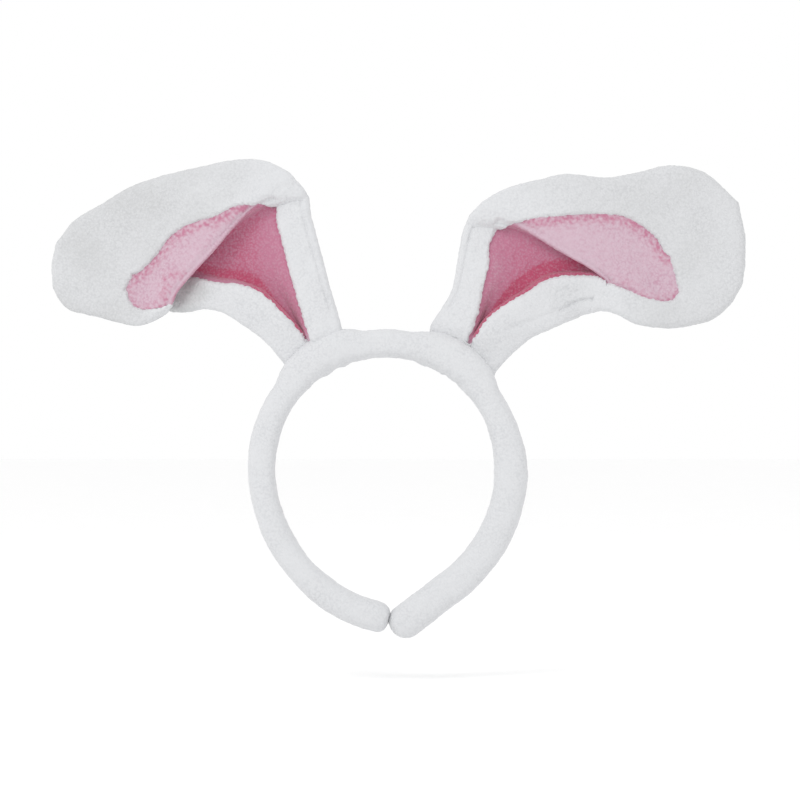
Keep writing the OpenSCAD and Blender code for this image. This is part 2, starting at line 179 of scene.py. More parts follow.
def walls(rows, columns, keep, offset, flip):
    """The faces that join the edges of two such grids, the second one offset further on."""
    marked = np.zeros((rows + 1, columns + 1), bool)
    marked[1:-1, 1:-1] = keep
    faces = []
    for i, j in zip(*np.nonzero(marked[1:-1, 1:-1])):
        corners = [(i, j), (i, j + 1), (i + 1, j + 1), (i + 1, j)]
        beyond = [marked[i, j + 1], marked[i + 1, j + 2], marked[i + 2, j + 1], marked[i + 1, j]]
        for k in range(4):
            if not beyond[k]:
                p = corners[k][0] * columns + corners[k][1]
                q = corners[(k + 1) % 4][0] * columns + corners[(k + 1) % 4][1]
                face = (q, p, p + offset, q + offset)
                faces.append(face[::-1] if flip else face)
    return faces


def shell_piece(name, outer, inner, keep, material, flip, painted_shade_and_speckle=None):
    """A closed sheet between an outer and an inner grid, over the cells that keep marks."""
    rows, columns = outer.shape[:2]
    count = rows * columns
    faces = quads(rows, columns, keep, 0, flip)
    faces += quads(rows, columns, keep, count, not flip)
    faces += walls(rows, columns, keep, count, flip)
    points = np.concatenate([outer.reshape(-1, 3), inner.reshape(-1, 3)])
    used = np.unique(np.array(faces).ravel())
    place = np.zeros(len(points), int)
    place[used] = np.arange(len(used))
    painted_shades_and_speckles = None if painted_shade_and_speckle is None else np.concatenate([painted_shade_and_speckle.ravel()] * 2)[used]
    return mesh_piece(name, points[used], [tuple(place[list(f)]) for f in faces], material, painted_shades_and_speckles)


# ---- materials ----

def fleece(name, light, dark, middle, deep):
    """Brushed fleece: small curled tufts, a soft sheen, random uneven patches, painted shade where the tufts'
    relief is low and a painted highlight on its tips.

    middle and deep are colours of painted shade, used where the mesh's painted_shade_and_speckle is a half and 1:
    painted shade down in the pink hollow and its groove, on the white tip, and as a pinkish painted shadow below
    the fold.
    """
    material = bpy.data.materials.new(name)
    material.use_nodes = True
    nodes, links = material.node_tree.nodes, material.node_tree.links
    shader = nodes["Principled BSDF"]
    shader.inputs["Roughness"].default_value = 0.95
    shader.inputs["Specular IOR Level"].default_value = 0.15
    shader.inputs["Sheen Weight"].default_value = 0.25
    shader.inputs["Sheen Roughness"].default_value = 0.6
    place = nodes.new("ShaderNodeTexCoord").outputs["Object"]

    def texture(kind, scale, **settings):
        node = nodes.new(kind)
        links.new(place, node.inputs["Vector"])
        node.inputs["Scale"].default_value = scale
        for key, value in settings.items():
            node.inputs[key].default_value = value
        return node

    def mixed(factor, a, b):
        node = nodes.new("ShaderNodeMix")
        node.data_type = "RGBA"
        links.new(factor, node.inputs["Factor"])
        for socket, colour in (("A", a), ("B", b)):
            target = [s for s in node.inputs if s.name == socket and s.type == "RGBA"][0]
            if isinstance(colour, tuple):
                target.default_value = (*colour, 1)
            else:
                links.new(colour, target)
        return [s for s in node.outputs if s.type == "RGBA"][0]

    def ramp(value, low, high, first=0.0, last=1.0):
        node = nodes.new("ShaderNodeMapRange")
        node.interpolation_type = "SMOOTHSTEP"
        node.inputs["From Min"].default_value = low
        node.inputs["From Max"].default_value = high
        node.inputs["To Min"].default_value = first
        node.inputs["To Max"].default_value = last
        links.new(value, node.inputs["Value"])
        return node.outputs["Result"]

    def sum_of(a, b, weight):
        node = nodes.new("ShaderNodeMath")
        node.operation = "MULTIPLY_ADD"
        links.new(b, node.inputs[0])
        node.inputs[1].default_value = weight
        links.new(a, node.inputs[2])
        return node.outputs[0]

    tufts = texture("ShaderNodeTexVoronoi", 1000 / TUFT, Randomness=1.0)
    fibres = texture("ShaderNodeTexNoise", 1000 / FIBRE, Detail=4.0, Roughness=0.75, Distortion=0.3)
    patches = texture("ShaderNodeTexNoise", 1000 / PATCH, Detail=2.0)
    height = sum_of(fibres.outputs["Fac"], tufts.outputs["Distance"], -0.7)
    # Darker where the relief is low: painted shade in the tufts' hollows.
    colour = mixed(ramp(height, -0.25, 0.35), dark, light)
    colour = mixed(ramp(patches.outputs["Fac"], 0.25, 0.85), colour, light)
    # The mesh's painted shade and speckle, a little deeper where the relief is low, mixes in the middle and deep
    # colours.
    painted_shade_and_speckle = nodes.new("ShaderNodeAttribute")
    painted_shade_and_speckle.attribute_name = "painted_shade_and_speckle"
    shade_by_relief = nodes.new("ShaderNodeMath")
    shade_by_relief.operation = "MULTIPLY"
    links.new(painted_shade_and_speckle.outputs["Fac"], shade_by_relief.inputs[0])
    links.new(ramp(height, -0.3, 0.4, 1.12, 0.88), shade_by_relief.inputs[1])
    colour = mixed(ramp(shade_by_relief.outputs[0], 0, 0.5), colour, middle)
    colour = mixed(ramp(shade_by_relief.outputs[0], 0.5, 1), colour, deep)
    # A painted highlight lightens the relief's tips.
    colour = mixed(ramp(height, 0.0, 0.5, 0.0, FIBRE_TIP_HIGHLIGHT), colour, light)
    links.new(colour, shader.inputs["Base Color"])
    bump = nodes.new("ShaderNodeBump")
    bump.inputs["Strength"].default_value = 0.45
    bump.inputs["Distance"].default_value = 0.6 * MM
    links.new(height, bump.inputs["Height"])
    links.new(bump.outputs["Normal"], shader.inputs["Normal"])
    return material


def plain(name, light, dark, roughness, size, metallic=0.0, bumpy=0.2):
    """A plain finish: slightly uneven colour, with a grain of that size in millimetres."""
    material = bpy.data.materials.new(name)
    material.use_nodes = True
    nodes, links = material.node_tree.nodes, material.node_tree.links
    shader = nodes["Principled BSDF"]
    shader.inputs["Roughness"].default_value = roughness
    shader.inputs["Metallic"].default_value = metallic
    grain = nodes.new("ShaderNodeTexNoise")
    grain.inputs["Scale"].default_value = 1000 / size
    grain.inputs["Detail"].default_value = 3.0
    links.new(nodes.new("ShaderNodeTexCoord").outputs["Object"], grain.inputs["Vector"])
    ramp = nodes.new("ShaderNodeValToRGB")
    ramp.color_ramp.elements[0].color = (*dark, 1)
    ramp.color_ramp.elements[1].color = (*light, 1)
    links.new(grain.outputs["Fac"], ramp.inputs["Fac"])
    links.new(ramp.outputs["Color"], shader.inputs["Base Color"])
    bump = nodes.new("ShaderNodeBump")
    bump.inputs["Strength"].default_value = bumpy
    bump.inputs["Distance"].default_value = 0.1 * MM
    links.new(grain.outputs["Fac"], bump.inputs["Height"])
    links.new(bump.outputs["Normal"], shader.inputs["Normal"])
    return material


# The fleece's tufts, fibres and uneven patches, in millimetres, and how much lighter its fibre tips are painted, a
# painted highlight.
TUFT = 1.1
FIBRE = 1.6
PATCH = 14
FIBRE_TIP_HIGHLIGHT = 0.22
THREAD_TONES = ((0.66, 0.67, 0.68), (0.58, 0.59, 0.60))
# The white fleece's middle and deep colours are painted shade: grey on the tip, and pinkish below the fold as a
# painted reflection of the pink flap.
white = fleece("white fleece", (0.65, 0.657, 0.672), (0.57, 0.577, 0.594),
               (0.50, 0.505, 0.51), (0.44, 0.33, 0.36))
# The pink fleece's middle and deep colours are the painted shade of the hollow and its groove.
rose = fleece("pink fleece", (0.58, 0.435, 0.505), (0.495, 0.30, 0.385),
              (0.475, 0.18, 0.27), (0.455, 0.078, 0.15))
FINISHES = {
    "core": plain("core plastic", (0.75, 0.77, 0.79), (0.68, 0.70, 0.72), 0.35, 6),
    "pad": plain("foam", (0.86, 0.84, 0.76), (0.72, 0.70, 0.62), 0.95, 0.8, bumpy=0.8),
    "hem": white,
    "tape": plain("cloth tape", (0.82, 0.77, 0.62), (0.70, 0.65, 0.50), 0.8, 0.5, bumpy=0.6),
    "wire": plain("wire", (0.62, 0.63, 0.65), (0.50, 0.51, 0.53), 0.3, 2, metallic=1.0),
    "stitches": plain("thread", *THREAD_TONES, 0.9, 0.4, bumpy=0.7),
    "thread": plain("seam thread", *THREAD_TONES, 0.9, 0.4, bumpy=0.7),
}

# ---- the ears ----

# Rows of four points [outward, up] from the ear's root: the inner-curve edge, the pink panel's two
# borders and the outer-curve edge. They go from inside the band up to the fold, and from the fold
# out to the tip.
LOWER = {
    "left": [
        [[9.5, -16], [-0.5, -5], [-2.5, -4], [-17.5, -2.5]],
        [[11.5, -13], [1, -0.5], [-1, 1.5], [-17, 4]],
        [[21.5, -1], [6.5, 6], [1.5, 8], [-13.5, 17]],
        [[33.5, 8], [16, 16], [5, 19], [-10, 29]],
        [[43.5, 14], [25.5, 24], [9, 32], [-7.5, 39]],
        [[52, 15.5], [35.5, 27], [13, 47.5], [-4, 52]],
        [[61, 14], [47.5, 28.5], [16, 59], [-1, 64]],
    ],
    "right": [
        [[11.5, -20.5], [0, -7], [-2, -5.5], [-18.5, 0.5]],
        [[15.5, -13.5], [2.5, 0], [0.5, 1.5], [-18, 8.5]],
        [[23.5, -4.5], [6.5, 6], [3.5, 9], [-12.5, 17.5]],
        [[33.5, 3.5], [11.5, 12.5], [6, 17], [-7.5, 26.5]],
        [[43, 7.5], [19.5, 18.5], [8, 27], [-5, 38.5]],
        [[50, 10.5], [29.5, 24.5], [11, 39], [-3.5, 47.5]],
        [[55, 12.5], [43, 32.5], [11.5, 49], [-2.5, 53.5]],
    ],
}
# The fold: where the lower part passes under it, its front edge, and how far it laps over.
UNDER = {
    "left": [[70.4, 14.6], [57.9, 31.6], [16.6, 67.6], [-0.1, 71]],
    "right": [[58.8, 14.2], [62.8, 33.5], [16.8, 58.7], [-1, 58.5]],
}
RIDGE = {
    "left": [[72.6, 12.3], [68.6, 18.3], [25.4, 68.1], [1.9, 75]],
    "right": [[66.8, 16.2], [70.3, 30.2], [23.3, 60.2], [1.5, 64]],
}
LAP = {"left": [8, 10, 9, 7, 0.5, 0], "right": [0, 1, 4, 5, 0.5, 0]}
# How far the front edge bows toward the tip between those points.
BOW = {"left": [0, 0.3, 2.2, 2, 0.5, 0], "right": [0, 0.5, 2.2, 1.5, 0, 0]}
# How much further out the first two rows over the fold lie, to follow that bow.
PUSH = {
    "left": [[0, 0.3, 1.7, 1.4, 0, 0], [0, 0, 1, 0.5, 0, 0]],
    "right": [[0, 1, 2.5, 1.5, 0, 0], [0, 0.5, 1.5, 1, 0, 0]],
}
UPPER = {
    "left": [
        [[75.9, 10.3], [71.9, 16.8], [31, 67.3], [8.9, 83]],
        [[79.4, 8.6], [75.5, 16.2], [37, 66], [21.5, 89.5]],
        [[86, 7], [79.5, 15], [47, 61], [36.5, 90]],
        [[96, 9], [83.5, 15], [58.5, 57.5], [54.5, 86.5]],
        [[104.5, 11.5], [87, 17], [68.5, 51.5], [72, 82.5]],
        [[112, 13], [89.5, 20.5], [77, 41], [88.5, 77]],
        [[119.5, 15], [91, 25.5], [88, 32.5], [103, 68.5]],
        [[125.5, 21], [112, 30], [110.5, 42], [117.5, 59.5]],
        [[128, 27], [128.5, 33.5], [128.5, 39], [126.5, 48]],
    ],
    "right": [
        [[71, 15.8], [72.5, 29.6], [30, 61.3], [7, 70]],
        [[76, 14], [76, 28.5], [39.5, 62.5], [20, 77.5]],
        [[84, 9.8], [83, 26], [53, 63.5], [36, 81.8]],
        [[93, 8], [91, 22.5], [66, 64], [49.5, 84.6]],
        [[103, 7.5], [98, 21], [81, 62], [69.5, 83]],
        [[113, 9], [103, 22], [94, 53], [85.5, 85.5]],
        [[123, 12], [106, 25.5], [101.5, 43.5], [101, 89]],
        [[132, 19.5], [121, 31.5], [119.5, 49], [118, 86]],
        [[138, 29.5], [139.5, 40.5], [139.5, 52.5], [136, 70.5]],
    ],
}
# Six stations across: the edges, the pink borders and two places on the pink panel.
STATIONS = [0, 1, 1.1, 1.5, 2, 3]
# How far back each row lies at those stations.
LOWER_DEPTH = [
    [1, 0, 0, 0, 0, 1],
    [1.5, -1, 0, 0, -1, 1.5],
    [2, -3.5, 2, 2, -1.5, 2],
    [1.5, -3.5, 3, 3.5, -1, 1.5],
    [1, -3.5, 4.5, 4, 0, 1],
    [2, -2, 6, 5, 1, 1],
    [4, 1, 6.5, 6.5, 2.5, 1],
]
# How far the foot comes forward to lie against the band's front, and the share of it at each station.
FOOT_FORWARD = {"left": [2, 4.5, 2.5, 1, 0, 0, 0], "right": [0, 0, 0, 0, 0, 0, 0]}
FOOT_SHARE = [0.4, 0.3, 0.3, 0.5, 1, 1]
# How far back the fold's rows lie.
FOLD_DEPTH = {
    "left": {
        "under": [6, 6, 7, 7.5, 4, 1.5],
        "turn": [2, 2.5, 3, 3, 2, 1],
        "ridge": [-3.7, -4.6, -5, -4.5, -1, 0],
        "over": [-4, -4.8, -5.1, -4.7, -2, -0.5],
    },
    "right": {
        "under": [2, 0, 5, 6, 4, 1.5],
        "turn": [1.5, -0.5, 2.5, 3, 2, 1],
        "ridge": [1, -1, -2, -3, -1, 0],
        "over": [0.5, -1.3, -2.3, -3.4, -2, -0.5],
    },
}
# How far back the rows beyond the fold lie: three for each ear, then six that both share.
FIRST_DEPTH = {
    "left": [
        [-4, -5, -5.2, -4.8, -3, -1],
        [-4, -5, -5.2, -5, -3.5, -1.5],
        [-4, -4, -4, -4, -3.5, -2.5],
    ],
    "right": [
        [0, -1.6, -2.6, -3.6, -3, -1],
        [-0.5, -2, -3, -4, -3.5, -1.5],
        [-1, -2, -3, -3.6, -3.5, -2],
    ],
}
LATER_DEPTH = [
    [-3, -2, -2, -2, -2, -1.5],
    [-1, 0, 0.5, 0.5, 0, 0],
    [0, 1, 1, 1, 1, 0],
    [0, 1, 1, 1, 1, 0],
    [0, 0, 0, 0, 0, 0],
    [0, 0, 0, 0, 0, 0],
]
# How much painted shade darkens the white pile on the tip, which faces a little down, and below the fold, where it
# is a painted shadow of the flap.
TIP_PAINTED_SHADE = {"left": 0.25, "right": 0.2}
BELOW_FOLD_PAINTED_SHADE = {"left": 0.5, "right": 0.15}
# Where the painted shade of the hollow's groove lies: how far the groove leaves the inner-curve border on its way
# under the fold, and how much wider it grows.
GROOVE = {"left": (4.5, 0.6), "right": (3.0, 3.5)}
# How much painted shade darkens the pink all over the hollow, and how much more along its groove.
HOLLOW_PAINTED_SHADE = {"left": (0.47, 0.5), "right": (0.4, 0.62)}
# How dark the pink is painted in the speckles along the flap's borders: painted shade where the white border
# overhangs, over random speckle.
FLAP_SHADE_AND_SPECKLE = 0.33
# Soft wrinkles in the inner-curve border: points [outward, up], depth and width.
WRINKLES = {
    "left": [([[24, 1], [33, 12], [44, 19], [55, 21]], 0.35, 2.0)],
    "right": [
        ([[46, 16.5], [52.8, 20.3], [58, 22], [63, 22.6]], 1.2, 1.0),
        ([[22, 8.5], [33, 12.5], [46, 16.5]], 0.5, 1.4),
        ([[47, 27], [55, 26], [60, 29]], 0.7, 2.5),
    ],
}
# Rows along an ear, as fold_rows makes them: the first under the fold, the turn back, the front
# edge, the row over it, the first beyond it and the last row of the pink panel.
FOLD_ROW = len(LOWER["left"])
TURN_ROW = FOLD_ROW + 2
RIDGE_ROW = FOLD_ROW + 5
OVER_ROW = FOLD_ROW + 6
BEYOND_ROW = FOLD_ROW + 7
PINK_END = BEYOND_ROW + 6
# The ear's half thickness, which rounds its rim, and about how wide its border is.
RIM = 3.3
BORDER_WIDTH = 15.0
# How far apart the ear's grid points lie, and how thick its fleece is.
STEP = 0.7
PANEL = 1.2
# How many of the grid's columns the wire leaves free at its foot, to clear the band.
WIRE_START = 19
# How far the pink panel lies in front of the middle surface, in the hollow and on the tip, and
# how wide the border's rolled edge along it is.
PINK_LEVEL = 1.3
TIP_LEVEL = 1.9
ROLL = 2.2
# Where that rolled edge starts, and how far the pink panel runs on under it, in grid points.
ROLL_FOOT = 0.4
PINK_MARGIN = 3
# How deep the crease is at the fold's corner, how much the left ear's lower border is flattened
# under the flap, and how much nearer the back lies than the front.
CREASE_DEPTH = 1.3
PRESSED = {"left": 0.5, "right": 0}
BACK_THINNER = 0.8
# The wire's radius, and how far in from the rim it runs.
WIRE_R = 0.6
WIRE_INSET = 1.6


def stations_of(row, depths):
    """Six points [outward, back, up] across an ear, from a row of four and their depths."""
    row = np.array(row, float)
    flat = [row[0], row[1]]
    flat += [row[1] + (row[2] - row[1]) * (v - 1) for v in STATIONS[2:4]]
    flat += [row[2], row[3]]
    return np.array([[p[0], y, p[1]] for p, y in zip(flat, depths)])


def across_fold(side):
    """The direction across the fold's front edge, toward the tip."""
    ridge = stations_of(RIDGE[side], [0] * 6)
    along = unit(ridge[4] - ridge[1])
    return np.array([along[2], 0, -along[0]])


def fold_rows(side, beyond):
    """The rows that lead under the fold, back to its front edge and out over it to the row beyond."""
    depths = FOLD_DEPTH[side]
    under = stations_of(UNDER[side], depths["under"])
    ridge = stations_of(RIDGE[side], depths["ridge"])
    outward = across_fold(side)
    ridge = ridge + np.array(BOW[side], float)[:, None] * outward
    lap = np.array(LAP[side], float)[:, None] * outward
    turn = (under + ridge) / 2 + lap
    turn[:, 1] = depths["turn"]
    over = (ridge + beyond) / 2
    over[:, 1] = depths["over"]
    rows = [under, 0.3 * under + 0.7 * turn, turn, 0.35 * ridge + 0.65 * turn]
    rows[1][:, 1] = 0.9 * under[:, 1] + 0.1 * turn[:, 1]
    rows[3][:, 1] = 0.55 * turn[:, 1] + 0.45 * ridge[:, 1]
    flat = np.clip(1 - np.array(LAP[side], float) / 3, 0, 1)[:, None]
    rows += [ridge + 0.3 * lap - 0.4 * flat * (ridge - turn), ridge, over]
    rows[4][:, 1] = 0.25 * turn[:, 1] + 0.75 * ridge[:, 1] + 0.6 * (1 - flat[:, 0])
    return rows


def ear_rows(side):
    """All the rows of an ear, from its foot to its tip."""
    rows = [stations_of(r, d) for r, d in zip(LOWER[side], LOWER_DEPTH)]
    for row, forward in zip(rows, FOOT_FORWARD[side]):
        row[:, 1] -= forward * np.array(FOOT_SHARE)
    upper = [stations_of(r, d) for r, d in zip(UPPER[side], FIRST_DEPTH[side] + LATER_DEPTH)]
    for row, push in zip(upper, PUSH[side]):
        row += np.array(push, float)[:, None] * across_fold(side)
    return np.array(rows + fold_rows(side, upper[0]) + upper)


def border_shares(count):
    """Shares across a border from its edge, close together where the edge rounds over."""
    near = [RIM * (1 - math.cos(math.radians(a))) / BORDER_WIDTH for a in range(0, 90, 12)]
    start = RIM / BORDER_WIDTH
    return near + [start + (1 - start) * k / count for k in range(count)]


def to_world(side, grid):
    """Points given from an ear's root, in the frame."""
    sign = SIDES[side]
    return grid * [sign, 1, 1] + ROOT[side]


def ear_surface(side):
    """The ear's middle surface, as a grid of points across and along, with what lies where."""
    rows = ear_rows(side)
    along = even_samples(rows, STEP)
    last = len(rows) - 2
    along = [s for s in along if s[0] < last]
    along += [(last, 1 - share) for share in reversed(border_shares(18))]
    lines = through(rows, along).transpose(1, 0, 2)
    wide = np.abs(np.diff(lines, axis=0))
    counts = [math.ceil(np.linalg.norm(w, axis=-1).max() / STEP) for w in wide]
    across = [(0, share) for share in border_shares(counts[0])]
    for i in range(1, 4):
        across += [(i, j / counts[i]) for j in range(counts[i])]
    across += [(4, 1 - share) for share in [1.0] + list(reversed(border_shares(counts[4])))]
    return through(lines, across), across, along


def rounded(distance, radius):
    """The height of a rounded edge of radius 1 at a distance in from it."""
    x = np.clip(distance / radius, 0, 1)
    return np.sqrt(np.maximum(0, 1 - (1 - x) ** 2))


def near_line(points, grid, width):
    """1 on a line given by close points, falling to 0 over about that width."""
    return np.exp(-(distance_to(points, grid) / width) ** 2)


def row_bump(row, centre, width):
    """1 at a row, falling to 0 over about that many rows."""
    return np.exp(-((row - centre) / width) ** 2)


def layer_heights(side, middle, station, row, to_rim, to_pink):
    """How far the front and the back of an ear stand from its middle surface."""
    folded = 1 - smooth((station - 1.8) / 0.4)
    if side == "right":
        folded = folded * smooth((station - 1) / 0.3)
    in_turn = folded[:, None] * row_bump(row, TURN_ROW, 1.2)
    in_ridge = folded[:, None] * row_bump(row, RIDGE_ROW, 1.6)
    low_side = 1 - smooth((station - 0.6) / 0.5)
    flattened = 1 - PRESSED[side] * low_side[:, None] * row_bump(row, RIDGE_ROW, 2.5)
    round_rim = rounded(to_rim, RIM)
    puff = 0.35 * noise_over(middle, 16, 3) + 0.2 * noise_over(middle, 6, 4)
    front = round_rim * (RIM + puff) * (1 - 0.6 * in_turn) * flattened
    front = front - seam_dip(station[:, None], row[None, :], to_rim)
    ridge_column = int(np.argmin(abs(row - RIDGE_ROW)))
    corner = middle[(station >= 2) & (station < 2.35), ridge_column]
    front = front - CREASE_DEPTH * near_line(corner, middle, 1.1)
    below_fold = (station[:, None] < 0.95) & (row[None, :] < OVER_ROW)
    front = front - wrinkles_over(side, middle, below_fold)
    ragged = np.maximum(0, to_pink + 0.3 * noise_over(middle, 1.3, 8))
    rolled = ROLL_FOOT + (front - ROLL_FOOT) * rounded(ragged, ROLL)
    back = round_rim * (RIM - BACK_THINNER + puff) * (1 - 0.85 * in_ridge) * flattened
    return np.minimum(front, rolled), back


def ear(side):
    """An ear's border, back, pink panel and wire."""
    sign = SIDES[side]
    middle, across, along = ear_surface(side)
    station = np.array([STATIONS[i] + share * (STATIONS[i + 1] - STATIONS[i]) for i, share in across])
    row = np.array([i + share for i, share in along])
    front = grid_normals(middle)
    if front[:, len(along) // 6, 1].mean() > 0:
        front = -front
    to_rim = distance_to(np.concatenate([middle[0], middle[-1], middle[:, -1]]), middle)
    low = int(np.argmin(abs(station - 1)))
    high = int(np.argmin(abs(station - 2)))
    end = int(np.argmin(abs(row - PINK_END)))
    pink_line = np.concatenate([middle[low, :end], middle[high, :end], middle[low:high, end]])
    to_pink = distance_to(pink_line, middle)

    heights = layer_heights(side, middle, station, row, to_rim, to_pink)
    world = {
        "face": to_world(side, middle + front * heights[0][..., None]),
        "back": to_world(side, middle - front * heights[1][..., None]),
    }
    out = {key: grid_normals(grid) for key, grid in world.items()}
    toward = front * [sign, 1, 1]
    for key, facing in (("face", 1), ("back", -1)):
        flip = np.sign((out[key] * toward).sum(axis=-1, keepdims=True)) * facing
        out[key] = out[key] * np.where(flip == 0, 1, flip)
    for edge in (np.s_[0, :], np.s_[-1, :], np.s_[:, -1]):
        shared = unit(out["face"][edge] + out["back"][edge])
        out["face"][edge] = shared
        out["back"][edge] = shared
    for key in world:
        world[key] = world[key] + out[key] * tufts_over(world[key])[..., None]

    white_cells = np.ones((len(across) - 1, len(along) - 1), bool)
    white_cells[low:high, :end] = False
    thin = np.clip(to_rim / RIM, 0, 1)[..., None]
    border = shell_piece(
        f"ear_border_{side}", world["face"], world["face"] - toward * thin * PANEL,
        white_cells, white, flip=sign > 0, painted_shade_and_speckle=white_painted_shade(side, middle, station, row))
    panel = shell_piece(
        f"ear_back_{side}", world["back"], world["back"] + toward * thin * PANEL,
        np.ones_like(white_cells), white, flip=sign < 0)

    strip = np.s_[low - PINK_MARGIN:high + PINK_MARGIN + 1, :end + PINK_MARGIN]
    level = PINK_LEVEL + (TIP_LEVEL - PINK_LEVEL) * smooth((row - OVER_ROW) / 2)
    lining = to_world(side, middle + front * level[None, :, None])[strip]
    facing = toward[strip]
    lining = lining + facing * tufts_over(lining)[..., None] * 0.8
    strip_row = row[None, :end + PINK_MARGIN]
    painted_shade_and_speckle = pink_shade_and_speckle(side, middle[strip], strip_row, middle[low, :end], middle[high, :end])
    pink = shell_piece(
        f"ear_lining_{side}", lining, lining - facing * PANEL,
        np.ones((lining.shape[0] - 1, lining.shape[1] - 1), bool), rose, flip=sign > 0, painted_shade_and_speckle=painted_shade_and_speckle)

    wire = tube_piece(f"ear_wire_{side}", wire_path(side, middle, to_rim), WIRE_R, FINISHES["wire"])
    return {"border": border, "back": panel, "lining": pink, "wire": wire}


def white_painted_shade(side, grid, station, row):
    """Painted shade on the white pile: on the wide tip, in soft patches, and below the fold, a painted shadow that
    turns a little pink, a painted reflection of the flap.
    """
    tip = smooth((row - BEYOND_ROW) / 3)[None, :] * TIP_PAINTED_SHADE[side]
    tip = tip * (1 + 0.3 * noise_over(grid, 20, 10))
    below = row_bump(row, FOLD_ROW - 0.5, 1.0)[None, :] * smooth((1 - station) / 0.4)[:, None]
    return np.clip(tip + below * BELOW_FOLD_PAINTED_SHADE[side], 0, 1)


def pink_shade_and_speckle(side, grid, row, low_line, high_line):
    """Painted shade on the pink: in the hollow, deeper along its groove, and on the flap toward the borders at the
    tip, where it is broken into random speckles.
    """
    level = np.array([1, 0, 1])
    to_low = distance_to(low_line * level, grid * level)
    to_high = distance_to(high_line * level, grid * level)
    hollow = smooth((row - 0.5) / 1.5) * (1 - smooth((row - RIDGE_ROW + 0.3) / 0.9))
    opening = smooth((row - 3) / 2.5)
    shift, widening = GROOVE[side]
    reach = 1 + widening * opening
    beyond_groove = np.maximum(0, abs(to_low - shift * opening) - reach)
    groove = np.exp(-(beyond_groove / 1.6) ** 2) * (1 - 0.5 * smooth((row - 5.5) / 2))
    shade = smooth((grid[..., 1] - 2) / 5) * smooth((to_low - 2) / 3)
    # A painted shade line along the hollow's outer border.
    edge = np.exp(-(to_high / 1.6) ** 2)
    base, deeper = HOLLOW_PAINTED_SHADE[side]
    # Painted shade in the hollow: where it lies deep, along its groove and along its outer border.
    inside = hollow * np.clip(base + 0.25 * shade + deeper * groove + 0.15 * edge, 0, 1)
    patches = np.clip(0.9 + 0.8 * noise_over(grid, 1.6, 9), 0, 1.5)
    # Painted shade strongest near the flap's borders, where the white border overhangs; the rest is random
    # speckle.
    beside = np.exp(-(to_high / 4) ** 2) + 0.5 * np.exp(-(to_low / 2.5) ** 2) + 0.25
    shade_and_speckles = FLAP_SHADE_AND_SPECKLE * np.clip(beside, 0, 1) * patches
    flap = (1 - hollow) * smooth((row - RIDGE_ROW) / 2) * shade_and_speckles
    return np.clip(inside + flap, 0, 1)


def wrinkles_over(side, grid, where):
    """How far the soft wrinkles of the inner-curve border press into it."""
    flat = grid * [1, 0, 1]
    dip = np.zeros(grid.shape[:-1])
    for line, depth, width in WRINKLES[side]:
        points = np.array([[p[0], 0, p[1]] for p in line], float)
        close = through(points, even_samples(points[:, None], 0.5))
        dip = np.maximum(dip, depth * near_line(close, flat, width))
    return dip * where


def seam_dip(station, row, to_rim):
    """The seam where the border meets the back panel's turned edge, on the ear's outer side."""
    beside = smooth((station - 2.2) / 0.2) * smooth((row - 1.5) / 1) * (1 - smooth((row - 7) / 1))
    return 0.8 * beside * np.exp(-((to_rim - 3.9) / 0.9) ** 2)


def tufts_over(grid):
    """The pile's own relief, in millimetres."""
    return 0.13 * noise_over(grid, 1.5, 1) + 0.1 * noise_over(grid, 3.6, 2)


def wire_path(side, middle, to_rim):
    """A line just inside the ear's edge, from its foot round the tip and back."""
    rows, columns = middle.shape[:2]
    across_foot = to_rim[:12, columns // 3]
    across_tip = to_rim[rows // 2, :-13:-1]
    inset = int(np.argmin(abs(across_foot - WIRE_INSET)))
    end = columns - 1 - int(np.argmin(abs(across_tip - WIRE_INSET)))
    line = [middle[inset, j] for j in range(WIRE_START, end, 4)]
    line += [middle[i, end] for i in range(inset + 2, rows - inset - 2, 4)]
    line += [middle[-1 - inset, j] for j in range(end, WIRE_START, -4)]
    return to_world(side, np.array(line))


def tube_piece(name, path, radius, material, sides=10):
    """A round tube along close points, with rounded-off ends left as flat caps."""
    ahead = unit(np.gradient(path, axis=0))
    side = unit(np.cross(ahead, [0.0, 1.0, 0.0]))
    up = np.cross(side, ahead)
    turns = np.arange(sides) * 2 * math.pi / sides
    ring = np.cos(turns)[None, :, None] * side[:, None] + np.sin(turns)[None, :, None] * up[:, None]
    points = (path[:, None] + radius * ring).reshape(-1, 3)
    faces = []
    for i in range(len(path) - 1):
        for k in range(sides):
            a, b = i * sides + k, i * sides + (k + 1) % sides
            faces.append((a, b, b + sides, a + sides))
    last = (len(path) - 1) * sides
    faces.append(tuple(reversed(range(sides))))
    faces.append(tuple(range(last, last + sides)))
    return mesh_piece(name, points, faces, material)


# ---- the band ----

# The arms below the head's widest place: their radius, how far round they turn, in degrees, and
# the straight length at the end.
SIDE_R = {"left": 69.8, "right": 66.0}
SIDE_TURN = {"left": math.degrees(math.atan2(24, 7)), "right": math.degrees(math.atan2(4, 3))}
END_LENGTH = {"left": 1.2, "right": 28.7}
# How thick the band is at the crown, along the arms and at their tips.
CROWN_T = 14.0
ARM_T = {"left": 13.7, "right": 16.6}
TIP_T = {"left": 15.2, "right": 17.0}
# The round swelling below each ear, and how softly it runs into the band.
SWELL_R = 38.0
SWELL_CENTRE = ROOT_R - SWELL_R
SWELL_SOFT = 1.2
# How square the band's section is, how many points it has, and how blunt the arms' tips are.
SQUARE = 2.9
SECTION_POINTS = 64
BLUNT = {"left": 2.8, "right": 2.1}
TIP_RINGS = 14


